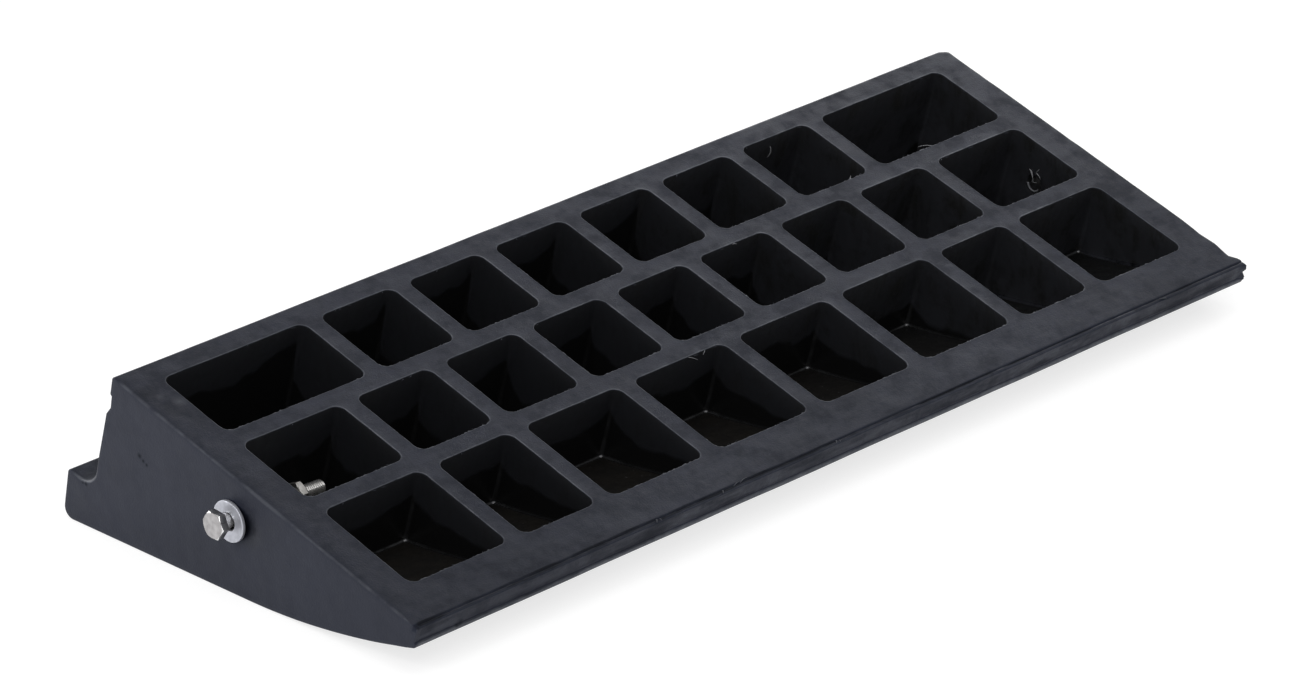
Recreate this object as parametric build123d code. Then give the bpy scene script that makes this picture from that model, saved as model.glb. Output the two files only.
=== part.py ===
from build123d import *
import math
import os

# Rubber kerb ramp, lying on its driving face with the hollow underside up, and its loose linking bolt.
# X runs along the ramp, Y from the toe to the back and Z up. All sizes are in millimetres.

# Ramp body, measured from the toe and down from the underside
ramp_length = 600.0
underside_depth = 227.5     # toe to back face
ramp_height = 99.3          # underside to the crest, before the crest is rounded
toe_height = 11.5           # underside to the toe's lower edge
toe_cut = 16.4              # how far under the toe the driving flat would pass if it ran on
flat_start = 110.0          # toe to where the driving face turns flat
plate_thickness = 10.0      # rubber between the driving face and the pocket floors
toe_bead_height = 2.0       # small bead along the toe's lower edge
toe_bead_reach = 0.8

# Lip that hooks over the kerb
lip_reach = 19.5            # behind the back face
lip_thickness = 29.0        # ledge to crest
lip_lean = 2.4              # how far the lip's back leans in towards the crest
cove_radius = 8.0           # between the back face and the ledge
lip_tip_round = 2.0
crest_round = 6.0

# Pockets in the underside
end_wall = 20.4
back_wall = 14.3
toe_margin = 27.3
rib = 11.3
toe_row_depth = 64.5
toe_square_pocket = 48.8    # the narrow pockets of the toe row
bolt_pocket = 63.8          # the end pockets of the middle row
wide_pocket = 93.2          # the end pockets of the back row
pocket_corner = 5.5
floor_round = 1.5
rim_round = 0.8
edge_round = 1.8            # outer edge of the underside

# Bolt holes through the two end walls
hole_depth = 24.2           # underside to the hole's axis
hole_offset = 4.0           # from the middle of the row, towards the back
hole_play = 2.0             # hole diameter over bolt diameter

# Linking bolt, nut and washer
bolt_diameter = 8.0
bolt_length = 67.0          # under the head
thread_length = 22.0
thread_pitch = 1.25
thread_groove = 0.7         # depth of the thread
head_flats = 13.0
head_height = 4.4
head_stand = 7.3            # end wall to the underside of the head
nut_flats = 13.0
nut_height = 4.0
nut_play = 0.2              # nut bore over bolt diameter
thread_showing = 14.2       # bolt end beyond the nut
washer_diameter = 22.0
washer_thickness = 2.0
washer_play = 1.8           # washer bore over bolt diameter
washer_round = 0.5
hex_chamfer_angle = 30.0    # degrees, on the head and the nut
droop_angle = 2.7           # degrees that the nut end hangs down in the loose hole
head_turn = 4.5             # degrees that a corner of the head stands above the level
nut_turn = 36.0             # the same for the nut
rest_gap = 0.1              # clearance where the bolt lies in its hole and the washer on its wall

# Driving face: a flat from the crest, then one arc tangent to it that ends on the toe's lower edge
ledge_depth = ramp_height - lip_thickness
tip_y = underside_depth + lip_reach
crest = Vector(tip_y - lip_lean, -ramp_height)
toe = Vector(-toe_bead_reach, -toe_height)
drive_slope = (ramp_height - toe_height - toe_cut) / (crest.X - toe.X)
drive_angle = math.degrees(math.atan(drive_slope))
inward = Vector(0, 1).rotate(Axis.Z, -drive_angle)
flat_end = Vector(flat_start, -ramp_height + (crest.X - flat_start) * drive_slope)
chord = flat_end - toe
roll_radius = -chord.dot(chord) / (2 * chord.dot(inward))
roll_centre = flat_end + inward * roll_radius
flat_middle = (crest + flat_end) / 2

# Rows of pockets
row_depth = (underside_depth - toe_margin - toe_row_depth - back_wall - 2 * rib) / 2
middle_row_y = toe_margin + toe_row_depth + rib + row_depth / 2
back_row_y = middle_row_y + row_depth + rib
toe_row_y = toe_margin + toe_row_depth / 2
hole_y = middle_row_y + hole_offset


def roll_points(inset):
    """Start, middle and end of the driving face's arc, moved inwards by the inset."""
    spokes = [flat_end - roll_centre, toe - roll_centre]
    middle = spokes[0].normalized() + spokes[1].normalized()
    return [roll_centre + spoke.normalized() * (roll_radius - inset) for spoke in (spokes[0], middle, spokes[1])]


def round_corner(face, corner, radius):
    """The face with the corner nearest to the point rounded."""
    return fillet(face.vertices().sort_by_distance(Vector(corner.X, corner.Y, 0))[0], radius)


def ramp_outline():
    """Cross section of the ramp, with X as the distance from the toe and Y as the height."""
    ledge_corner = Vector(underside_depth, -ledge_depth)
    lip_tip = Vector(tip_y, -ledge_depth)
    bead_top = -toe_height + toe_bead_height
    roll_start, roll_middle, roll_end = roll_points(0)
    edges = Polyline((0, 0), (underside_depth, 0), ledge_corner, lip_tip, crest, roll_start)
    edges += ThreePointArc(roll_start, roll_middle, roll_end)
    edges += Polyline(roll_end, (toe.X, bead_top), (0, bead_top + toe_bead_reach), (0, 0))
    face = make_face(edges)
    face = round_corner(face, ledge_corner, cove_radius)
    face = round_corner(face, lip_tip, lip_tip_round)
    return round_corner(face, crest, crest_round)


def hollow_outline():
    """Cross section of the space above the pocket floors, one plate thickness inside the driving face."""
    roll_start, roll_middle, roll_end = roll_points(plate_thickness)
    back_floor = crest + inward * plate_thickness
    edges = Polyline(roll_end, (roll_end.X, ramp_height), (back_floor.X, ramp_height), back_floor, roll_start)
    edges += ThreePointArc(roll_start, roll_middle, roll_end)
    return make_face(edges)


def along_ramp(outline):
    """A cross section drawn out over the ramp's length, centred on X = 0."""
    return extrude(Plane.YZ * outline, ramp_length / 2, both=True)


def pocket_row(row_y, depth, widths):
    """One row of pocket mouths. Each width of None takes an equal share of the length that is left."""
    room = ramp_length - 2 * end_wall - rib * (len(widths) - 1)
    shared = (room - sum(width for width in widths if width)) / widths.count(None)
    mouths = []
    left = -ramp_length / 2 + end_wall
    for width in widths:
        pocket_width = width or shared
        mouths.append(Pos(left + pocket_width / 2, row_y) * RectangleRounded(pocket_width, depth, pocket_corner))
        left += pocket_width + rib
    return mouths


def pockets():
    """The spaces of all the pockets, with rounded floor edges."""
    mouths = pocket_row(back_row_y, row_depth, [wide_pocket] + [None] * 6 + [wide_pocket])
    mouths += pocket_row(middle_row_y, row_depth, [bolt_pocket] + [None] * 7 + [bolt_pocket])
    toe_widths = [None, toe_square_pocket] + [None] * 4 + [toe_square_pocket, None]
    mouths += pocket_row(toe_row_y, toe_row_depth, toe_widths)
    above_floors = along_ramp(hollow_outline())
    spaces = []
    for mouth in mouths:
        space = extrude(mouth, ramp_height, both=True) & above_floors
        low_edges = space.edges().filter_by(lambda edge: edge.center().Z < 0)
        floor_edges = low_edges - low_edges.filter_by(Axis.Z)
        spaces.append(fillet(floor_edges, floor_round))
    return spaces


def end_holes():
    """The bolt holes through the two end walls."""
    drill = Cylinder((bolt_diameter + hole_play) / 2, end_wall + 2 * rim_round, rotation=(0, 90, 0))
    wall_middle = (ramp_length - end_wall) / 2
    return [Pos(side * wall_middle, hole_y, -hole_depth) * drill for side in (-1, 1)]


def ramp_body():
    """The moulding, with its underside in the plane Z = 0 and its toe at Y = 0."""
    body = along_ramp(ramp_outline()) - pockets() - end_holes()
    rims = body.faces().sort_by(Axis.Z)[-1].inner_wires().edges()
    body = fillet(rims, rim_round)
    outer_edges = body.faces().sort_by(Axis.Z)[-1].outer_wire().edges()
    return fillet(outer_edges, edge_round)


def hexagon(flats, height, chamfered_ends):
    """A hexagonal prism from X = 0, with the corners of the named ends chamfered."""
    prism = extrude(Plane.YZ * RegularPolygon(flats / 2, 6, major_radius=False), height)
    corner_cut = flats / math.sqrt(3) - flats / 2
    rise = corner_cut * math.tan(math.radians(hex_chamfer_angle))
    outline = [(0, 0), (0, flats / 2), (rise, flats / 2 + corner_cut), (height, flats / 2 + corner_cut), (height, 0)]
    cone = revolve(Plane.XZ * make_face(Polyline(*outline, close=True)), Axis.X)
    if "start" in chamfered_ends:
        prism = prism & cone
    if "end" in chamfered_ends:
        prism = prism & (Pos(height, 0, 0) * Rot(0, 180, 0) * cone)
    return prism


def linking_bolt():
    """Hexagon bolt along X, with the underside of its head at X = 0. The thread is a row of grooves."""
    crest_radius = bolt_diameter / 2
    root_radius = crest_radius - thread_groove
    turns = int(thread_length / thread_pitch)
    points = [(0, 0), (0, crest_radius), (bolt_length - turns * thread_pitch, crest_radius)]
    for turn in range(turns, 0, -1):
        groove_start = bolt_length - turn * thread_pitch
        points.append((groove_start + thread_pitch / 2, root_radius))
        points.append((groove_start + thread_pitch, crest_radius if turn > 1 else root_radius))
    points.append((bolt_length, 0))
    shank = revolve(Plane.XZ * make_face(Polyline(*points, close=True)), Axis.X)
    head = Pos(-head_height, 0, 0) * hexagon(head_flats, head_height, ["start"])
    return head + shank


def nut():
    """Hexagon nut along X from X = 0, with a plain bore that clears the thread."""
    blank = hexagon(nut_flats, nut_height, ["start", "end"])
    bore = Cylinder((bolt_diameter + nut_play) / 2, 2 * nut_height, rotation=(0, 90, 0))
    return blank - Pos(nut_height / 2, 0, 0) * bore


def washer():
    """Plain washer centred on the origin, with its axis along X."""
    disc = Cylinder(washer_diameter / 2, washer_thickness, rotation=(0, 90, 0))
    bore = Cylinder((bolt_diameter + washer_play) / 2, 2 * washer_thickness, rotation=(0, 90, 0))
    disc = fillet(disc.edges(), washer_round)
    return disc - bore


# Laid on the driving flat: the flat is the plane Z = 0, and its middle is the origin
lay = Rot(drive_angle, 0, 0) * Pos(0, -flat_middle.X, -flat_middle.Y)
hole_mouth = (lay * Pos(-ramp_length / 2, hole_y, -hole_depth)).position

# The bolt lies on the inner lower edge of its hole, with its axis through the middle of the wall
droop = math.radians(droop_angle)
hole_room = hole_play / 2 - (end_wall / 2) * math.tan(droop)
wall_middle = hole_mouth + Vector(end_wall / 2, 0, rest_gap - hole_room)
bolt_place = Pos(wall_middle) * Rot(0, droop_angle, 0)
head_seat = -end_wall / 2 - head_stand
nut_seat = head_seat + bolt_length - thread_showing - nut_height
washer_x = -rest_gap - washer_thickness / 2
washer_rise = (end_wall / 2 - washer_x) * math.tan(droop)
washer_place = Pos(hole_mouth.X + washer_x, hole_mouth.Y, wall_middle.Z + washer_rise)

nodes = {
    "ramp_body": lay * ramp_body(),
    "linking_bolt": bolt_place * Pos(head_seat, 0, 0) * Rot(head_turn, 0, 0) * linking_bolt(),
    "bolt_nut": bolt_place * Pos(nut_seat, 0, 0) * Rot(nut_turn, 0, 0) * nut(),
    "bolt_washer": washer_place * washer(),
}

os.makedirs("parts", exist_ok=True)
for name, solid in nodes.items():
    export_step(solid, f"parts/{name}.step")

print("driving flat leans", round(drive_angle, 4), "degrees; arc radius", round(roll_radius, 2))
print("hole mouth", hole_mouth, "bolt axis in the wall", wall_middle)
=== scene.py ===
import math
import random

import bmesh
import bpy
from mathutils import Matrix, Vector, geometry, kdtree, noise


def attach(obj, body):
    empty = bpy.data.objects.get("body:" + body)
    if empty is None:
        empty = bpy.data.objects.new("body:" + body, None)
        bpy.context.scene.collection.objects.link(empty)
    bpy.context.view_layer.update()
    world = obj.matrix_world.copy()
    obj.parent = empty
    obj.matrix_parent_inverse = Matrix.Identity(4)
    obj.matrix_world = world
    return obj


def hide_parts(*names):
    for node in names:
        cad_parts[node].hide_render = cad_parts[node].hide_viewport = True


# A rubber kerb ramp lying on its driving face, with its linking bolt. All sizes are in metres.

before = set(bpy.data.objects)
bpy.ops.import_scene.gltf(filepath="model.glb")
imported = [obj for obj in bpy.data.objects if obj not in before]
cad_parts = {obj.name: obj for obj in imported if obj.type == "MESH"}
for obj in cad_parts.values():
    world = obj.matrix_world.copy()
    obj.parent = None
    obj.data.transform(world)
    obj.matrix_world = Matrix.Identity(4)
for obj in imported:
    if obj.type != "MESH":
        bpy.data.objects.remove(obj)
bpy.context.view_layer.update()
mm = 0.001

# Seed of the noise that makes the rubber uneven, so that each run gives the same shapes
noise.seed_set(11)

# Ramp body, measured from the toe and down from the underside
ramp_length = 600 * mm
underside_depth = 227.5 * mm
ramp_height = 99.3 * mm
toe_height = 11.5 * mm
toe_cut = 16.4 * mm
flat_start = 110 * mm
plate_thickness = 10 * mm
toe_bead_height = 2.0 * mm
toe_bead_reach = 0.8 * mm
lip_reach = 19.5 * mm
lip_thickness = 29 * mm
lip_lean = 2.4 * mm
cove_radius = 11 * mm
lip_tip_round = 2 * mm
crest_round = 6 * mm
edge_round = 1.8 * mm           # back edge of the underside
end_edge_round = 0.7 * mm       # round the two end faces
cove_end_round = 1.8 * mm       # where the cove meets an end face
underside_end_round = 1.4 * mm  # where the underside meets an end face

# Crease and bead along the toe
crease_back = 3.8 * mm
crease_line = 2.2 * mm
crease_depth = 0.6 * mm
crease_front = (0.7 * mm, 0.25 * mm)  # where its sides start: how far from its line and how far down
crease_rear = (0.9 * mm, 0.05 * mm)
toe_lip_drop = 0.5 * mm
toe_lip_round = 0.35 * mm
bead_groove = 0.12 * mm
bead_round = 0.5 * mm
# Strength of the painted highlight along the toe's bead
bead_highlight = 1.3
toe_edge_round = 0.12 * mm

# Pockets in the underside
end_wall = 20.4 * mm
back_wall = 14.3 * mm
toe_margin = 27.3 * mm
rib = 11.3 * mm
toe_row_depth = 64.5 * mm
toe_square_pocket = 48.8 * mm
bolt_pocket = 63.8 * mm
wide_pocket = 93.2 * mm
pocket_corner = 5.5 * mm
deep_corner = 2.0 * mm       # below the rim the corners get tighter
corner_depth = 14 * mm
floor_round = 1.5 * mm
rim_drop = 0.35 * mm
mouth_room_right = 0.7 * mm  # how far the mouths stand outside their outlines
mouth_room_back = 0.5 * mm

# Bolt holes
hole_depth = 24.2 * mm
hole_offset = 4 * mm
hole_radius = 5 * mm
hole_rim = 0.4 * mm

# Linking bolt, nut and washer
bolt_radius = 4 * mm
bolt_length = 67 * mm
thread_length = 22 * mm
thread_pitch = 1.25 * mm
thread_groove = 0.7 * mm
head_flats = 13.4 * mm
head_height = 4.4 * mm
head_stand = 7.3 * mm
nut_flats = 13 * mm
nut_height = 4 * mm
nut_bore = 4.1 * mm
nut_sink = 0.7 * mm
nut_thread_height = 0.3 * mm
nut_thread_turn = 6.283         # how far it winds in one pitch, in radians
thread_showing = 14.2 * mm
washer_radius = 11 * mm
washer_thickness = 2 * mm
washer_bore = 4.9 * mm
washer_hang = (-0.4 * mm, -0.5 * mm)  # the loose washer hangs off the bolt's middle
washer_round = 0.5 * mm
washer_bevel = 0.15 * mm        # at the edges of its bore
hex_chamfer = math.radians(30)
hex_bevel = 0.06 * mm
face_bevel = 0.18 * mm
head_bevel = 0.25 * mm          # under the head
neck_fillet = 0.5 * mm
face_share = 0.50               # radius of a hexagon's round face, as a share of its flats
head_turn = math.radians(4.5)
nut_turn = math.radians(36)
droop = math.radians(2.7)       # how far the nut end hangs down in the loose hole
rest_gap = 0.1 * mm
hex_sharp = math.radians(24)    # edges turned by more than this stay sharp
washer_sharp = math.radians(35)

# How much of the pockets' walls is pale, from the rim down: the back wall in each row, and the right wall
back_wall_pale = {"back": 0.26, "middle": 0.42, "toe": 0.47}
right_wall_pale = 0.57
deeper_pale_from = 50 * mm   # to the right of here the pale part reaches further down
deeper_pale_over = 150 * mm

# Torn stretches of two edges, in mm: how far down the left back edge or back from the toe, and how far cut in
chip_steps = [(0, 0), (10.7, 0.5), (11.1, 1.7), (18.2, 2.3), (23.1, 0)]
right_end_steps = [(46, 0), (32, 1.0), (21, 0.2), (9.6, 2.3), (7.5, 1.0), (4.6, -0.4), (0, -0.2)]
torn_reach = 9 * mm

# Torn flash: how far it stands into the pockets, the curls on their rims, and the lip in the empty hole
flash_reach = 1.15 * mm
curl_thickness = 0.35 * mm
rim_curls = 7                   # at each pocket
rim_curl_thickness = 0.25 * mm
hole_lip_stand = 0.4 * mm       # off the pocket's wall
hole_lip_inset = 0.9 * mm
hole_lip_width = 2.2 * mm
hole_lip_thickness = 0.5 * mm

# Unevenness of the rubber, in mm: how wide and how high its waves are
broad_waves = (60, 0.20)
small_waves = (14, 0.05)

# How finely the pieces are meshed
path_step = 3 * mm
station_step = 2 * mm
rim_step = 1.6 * mm
ragged_step = 0.5 * mm
torn_step = 0.8 * mm
fill_step = 5 * mm
lathe_sides = 96

# Camera: its place and the way it looks, its lens and sensor in millimetres
camera_place = (-2.2508, -2.3570, 1.4796)
camera_forward = (0.6371, 0.6527, -0.4101)
camera_roll = math.radians(-0.9)
camera_lens = 187.4
camera_sensor = 36

# Floor and surroundings
stage_half = 6.0
stage_drop = 0.2 * mm
stage_bounce = (0.72, 0.72, 0.73)
stage_seen = (0.34, 0.34, 0.34)
stage_glow = 0.75
stage_mirrored_glow = 0.5
room_light = 0.4
ceiling_light = 0.2

# Soft lights: name, place, the point that it looks at, size and power
lights = [
    ("sheen", (2.1, 1.3, 1.3), (0.1, -0.05, 0.05), 0.9, 9),
    ("right", (1.5, -0.3, 1.7), (0, -0.06, 0.04), 0.8, 4),
    ("side", (-1.5, 1.8, 0.6), (-0.3, -0.06, 0.04), 0.7, 17),
    ("overhead", (-0.2, -0.3, 2.4), (0, -0.06, 0.04), 2.0, 18),
    ("front", (-1.7, -1.9, 1.9), (0, -0.06, 0.04), 1.5, 30),
    ("back", (0.42, 0.6, 0.96), (-0.27, 0.13, 0.09), 0.25, 0.4),
    ("spark", (-1.9, -0.33, 1.97), (-0.3, 0, 0.06), 0.25, 4),
]

# Driving face and pocket rows, worked out as in the solid
ledge_depth = ramp_height - lip_thickness
tip_y = underside_depth + lip_reach
crest = Vector((tip_y - lip_lean, -ramp_height))
toe = Vector((-toe_bead_reach, -toe_height))
bead_top = -toe_height + toe_bead_height
drive_slope = (ramp_height - toe_height - toe_cut) / (crest.x - toe.x)
drive_angle = math.atan(drive_slope)
inward = Vector((math.sin(drive_angle), math.cos(drive_angle)))
flat_end = Vector((flat_start, -ramp_height + (crest.x - flat_start) * drive_slope))
chord = flat_end - toe
roll_radius = -chord.length_squared / (2 * chord.dot(inward))
roll_centre = flat_end + inward * roll_radius
flat_middle = (crest + flat_end) / 2
row_depth = (underside_depth - toe_margin - toe_row_depth - back_wall - 2 * rib) / 2
middle_row_y = toe_margin + toe_row_depth + rib + row_depth / 2
back_row_y = middle_row_y + row_depth + rib
toe_row_y = toe_margin + toe_row_depth / 2
hole_place = Vector((middle_row_y + hole_offset, -hole_depth))
half_length = ramp_length / 2
lay = Matrix.Rotation(drive_angle, 4, "X") @ Matrix.Translation((0, -flat_middle.x, -flat_middle.y))

# The bolt lies on the inner lower edge of its hole, with its axis through the middle of the wall
hole_mouth = lay @ Vector((-half_length, hole_place.x, hole_place.y))
hole_room = hole_radius - bolt_radius - (end_wall / 2) * math.tan(droop)
wall_middle = hole_mouth + Vector((end_wall / 2, 0, rest_gap - hole_room))
bolt_place = Matrix.Translation(wall_middle) @ Matrix.Rotation(droop, 4, "Y")
head_seat = -end_wall / 2 - head_stand
nut_seat = head_seat + bolt_length - thread_showing - nut_height
washer_x = -rest_gap - washer_thickness / 2
washer_rise = (end_wall / 2 - washer_x) * math.tan(droop)


class Draft:
    """Points and faces of a mesh in the making, with the marks that its material reads at each point."""

    def __init__(self, *marks):
        self.points = []
        self.faces = []
        self.marks = {mark: [] for mark in marks}

    def add(self, points, **values):
        """Adds points and gives their numbers. A mark takes one value, or a list of them, or else 0."""
        first = len(self.points)
        self.points.extend(points)
        numbers = list(range(first, len(self.points)))
        for mark, column in self.marks.items():
            value = values.get(mark, 0.0)
            column.extend(value if isinstance(value, list) else [value] * len(numbers))
        return numbers

    def join(self, rows, closed=True):
        """Joins each row of points to the next one, which has as many, with four-sided faces."""
        for row, other in zip(rows, rows[1:]):
            count = len(row)
            for here in range(count if closed else count - 1):
                after = (here + 1) % count
                self.faces.append((row[here], row[after], other[after], other[here]))

    def cap(self, rows):
        """Closes the first and the last of some rings with a face."""
        self.faces.append(tuple(rows[0]))
        self.faces.append(tuple(rows[-1]))

    def fill(self, outline, holes, step, flat, lift, **values):
        """Fills the surface inside an outline and round its holes with triangles about a step wide.
        flat gives a point's place on the drawing plane, and lift gives the point over such a place."""
        rings = [outline] + holes
        numbers = [number for ring in rings for number in ring]
        ring_of = [which for which, ring in enumerate(rings) for _ in ring]
        places = [Vector(flat(self.points[number])) for number in numbers]
        edges = []
        first = 0
        for ring in rings:
            edges += [(first + here, first + (here + 1) % len(ring)) for here in range(len(ring))]
            first += len(ring)
        inner = inner_places(places, ring_of, len(rings), step)
        numbers += self.add([lift(place) for place in inner], **values)
        ring_of += [-1] * len(inner)
        result = geometry.delaunay_2d_cdt(places + inner, edges, [], 1, 1e-8)
        faces, sources = result[2], result[3]
        for face in faces:
            corners = [sources[corner][0] for corner in face]
            touched = {ring_of[corner] for corner in corners}
            in_hole = len(touched) == 1 and min(touched) > 0
            if not in_hole:
                self.faces.append(tuple(numbers[corner] for corner in corners))

    def finish_numbers(self, *tests):
        """Which material each face takes: how many of the tests (mark, level) all its points are above."""
        numbers = [0] * len(self.faces)
        for mark, level in tests:
            column = self.marks[mark]
            for which, face in enumerate(self.faces):
                numbers[which] += min(column[number] for number in face) > level
        return numbers

    def make(self, name, place=Matrix.Identity(4), sharp_angle=None, finishes=None):
        """The finished object, with smooth faces that look outwards and no loose points."""
        mesh = bpy.data.meshes.new(name)
        mesh.from_pydata([place @ point for point in self.points], [], self.faces)
        for mark, column in self.marks.items():
            mesh.attributes.new(mark, "FLOAT", "POINT").data.foreach_set("value", column)
        if finishes:
            mesh.polygons.foreach_set("material_index", finishes)
        shape = bmesh.new()
        shape.from_mesh(mesh)
        loose = [point for point in shape.verts if not point.link_faces]
        bmesh.ops.delete(shape, geom=loose, context="VERTS")
        bmesh.ops.recalc_face_normals(shape, faces=shape.faces)
        shape.to_mesh(mesh)
        shape.free()
        mesh.shade_smooth()
        if sharp_angle:
            mesh.set_sharp_from_angle(angle=sharp_angle)
        piece = bpy.data.objects.new(name, mesh)
        bpy.context.scene.collection.objects.link(piece)
        return piece


def inner_places(places, ring_of, ring_count, step):
    """Places of a triangular grid inside the first ring, clear of all the rings and outside the holes."""
    boxes = []
    for which in range(ring_count):
        ring = [place for place, owner in zip(places, ring_of) if owner == which]
        low = Vector((min(p.x for p in ring), min(p.y for p in ring)))
        high = Vector((max(p.x for p in ring), max(p.y for p in ring)))
        boxes.append((low, high))
    tree = kdtree.KDTree(len(places))
    for number, place in enumerate(places):
        tree.insert(place.to_3d(), number)
    tree.balance()
    room = 0.6 * step
    low, high = boxes[0]
    inner = []
    rise = step * math.sqrt(3) / 2
    for line in range(1, int((high.y - low.y) / rise) + 1):
        y = low.y + line * rise
        x = low.x + step * (0.5 if line % 2 else 1.0)
        while x < high.x:
            in_hole = any(a.x - room < x < b.x + room and a.y - room < y < b.y + room for a, b in boxes[1:])
            if not in_hole and tree.find((x, y, 0))[2] > room:
                inner.append(Vector((x, y)))
            x += step
    return inner


def spread(start, end, parts):
    """Numbers from start to end, both included, in equal parts."""
    return [start + (end - start) * part / parts for part in range(parts + 1)]


def limited(value, low=0.0, high=1.0):
    """The value, kept between two limits."""
    return min(high, max(low, value))


def turned(vector, angle):
    """A flat vector turned anticlockwise."""
    cosine, sine = math.cos(angle), math.sin(angle)
    return Vector((vector.x * cosine - vector.y * sine, vector.x * sine + vector.y * cosine))


def rounded_path(corners, step):
    """A line through corners (x, y, radius), with the corners rounded and points at most a step apart."""
    stops = [Vector(corners[0][:2])]
    for before, corner, after in zip(corners, corners[1:], corners[2:]):
        here = Vector(corner[:2])
        way_in = (here - Vector(before[:2])).normalized()
        way_out = (Vector(after[:2]) - here).normalized()
        turn = math.atan2(way_in.cross(way_out), way_in.dot(way_out))
        radius = corner[2]
        side = math.copysign(1, turn)
        start = here - way_in * radius * math.tan(abs(turn) / 2)
        centre = start + turned(way_in, side * math.pi / 2) * radius
        parts = max(3, round(abs(turn) / math.radians(15)))
        stops += [centre + turned(start - centre, angle) for angle in spread(0, turn, parts)]
    stops.append(Vector(corners[-1][:2]))
    path = [stops[0]]
    for start, end in zip(stops, stops[1:]):
        parts = max(1, math.ceil((end - start).length / step))
        path += [start.lerp(end, part) for part in spread(0, 1, parts)[1:]]
    return path


def ramp_path():
    """Cross section from the back edge, round the lip and the driving face, to the toe's crease."""
    torn_end = -chip_steps[-1][0] * mm
    torn = rounded_path([
        (underside_depth - 2 * edge_round, 0, 0),
        (underside_depth, 0, edge_round),
        (underside_depth, torn_end, 0),
    ], torn_step)
    back = rounded_path([
        (underside_depth, torn_end, 0),
        (underside_depth, -ledge_depth, cove_radius),
        (tip_y, -ledge_depth, lip_tip_round),
        (crest.x, crest.y, crest_round),
        (flat_end.x, flat_end.y, 0),
    ], path_step)
    spoke = flat_end - roll_centre
    sweep = (toe - roll_centre).angle(spoke)
    parts = round(roll_radius * sweep / path_step)
    roll = [roll_centre + turned(spoke, -angle) for angle in spread(0, sweep, parts)[1:-1]]
    front = rounded_path([
        (roll[-1].x, roll[-1].y, 0),
        (toe.x, toe.y, bead_round),
        (toe.x, bead_top, bead_round),
        (bead_groove, bead_top + toe_bead_reach, 0.3 * mm),
        (0, bead_top + 2 * toe_bead_reach, 0.4 * mm),
        (0, -toe_lip_drop, toe_lip_round),
        (crease_line - crease_front[0], -crease_front[1], 0.6 * mm),
        (crease_line, -crease_depth, 0.3 * mm),
        (crease_line + crease_rear[0], -crease_rear[1], 0.5 * mm),
        (crease_back, 0, 3 * mm),
        (crease_back + edge_round, 0, 0),
    ], path_step)
    return torn + back[1:] + roll + front[1:]


def upright_plane(x):
    """For an upright plane across X: how its points become flat places, and how those become points."""
    return lambda point: (point.y, point.z), lambda place: Vector((x, place.x, place.y))


def outward_directions(outline):
    """The outward direction at each point of a closed outline that runs clockwise."""
    count = len(outline)
    directions = []
    for here in range(count):
        along = outline[(here + 1) % count] - outline[here - 1]
        directions.append(Vector((-along.y, along.x)).normalized())
    return directions


def near_cove(point):
    """1 in the cove of the cross section, falling to 0 away from it."""
    return limited(1.7 - (point - Vector((underside_depth, -ledge_depth))).length / cove_radius)


def path_radius(point):
    """How round the end face's edge is at a point of the cross section."""
    radius = end_edge_round + (cove_end_round - end_edge_round) * near_cove(point)
    return crisp_near_toe(radius, point.x)


def foot_radius(side, y):
    """How round the underside's edge is at one end: soft and uneven, as trimmed rubber is."""
    slow = noise.noise(Vector((side * 7, y / (45 * mm), 3)))
    quick = noise.noise(Vector((side * 5, y / (9 * mm), 1)))
    return crisp_near_toe(underside_end_round * (1 + 0.35 * (slow + 0.6 * quick)), y)


def crisp_near_toe(radius, y):
    """An edge's radius, made small where the toe's crease and bead leave no room for it."""
    share = limited((y - crease_back) / (8 * mm))
    return toe_edge_round + (radius - toe_edge_round) * share


def ramp_skin(draft, hole_rings):
    """The outer faces but for the underside. It gives the line round the underside, for the fill."""
    path = ramp_path()
    span = path[0].x - path[-1].x
    parts = round(span / station_step)
    foot = [Vector((path[-1].x + span * part / parts, 0)) for part in range(1, parts)]
    ends = [end_face(draft, path, foot, side, hole_rings[side]) for side in (-1, 1)]
    # A painted highlight along the bead under the toe
    worn = [bead_highlight if point.x < -0.25 * mm else 0.0 for point in path]
    stations = [ends[0][:len(path)]]
    stretch = ramp_length - 2 * underside_end_round
    parts = round(stretch / station_step)
    for part in range(1, parts):
        x = -stretch / 2 + stretch * part / parts
        points = [Vector((x, point.x, point.y)) for point in path]
        stations.append(draft.add(points, worn=worn, grime=[grime(point, x) for point in path]))
    stations.append(ends[1][:len(path)])
    draft.join(stations, closed=False)
    left = ends[0][len(path):]
    right = ends[1][len(path):]
    return left + [row[0] for row in stations] + right[::-1] + [row[-1] for row in reversed(stations)]


def grime(point, x):
    """How much painted shade, with some dirt, a place of the cross section takes: most in the toe's crease,
    also on the toe's face and over its bead, and more so at the left.
    """
    if point.x > crease_back or point.y < bead_top - 0.1 * mm:
        return 0.0
    if point.y > -2 * crease_depth and point.x > 0.1 * mm:
        reach = (0.9 + 1.6 * limited(0.4 - 1.6 * x / ramp_length)) * mm
        return 0.8 * limited(1.3 - abs(point.x - crease_line) / reach)
    over_bead = point.y < bead_top + 2 * toe_bead_reach
    return 0.2 + 0.4 * limited(0.35 - x / ramp_length) if over_bead else 0.5


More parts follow.
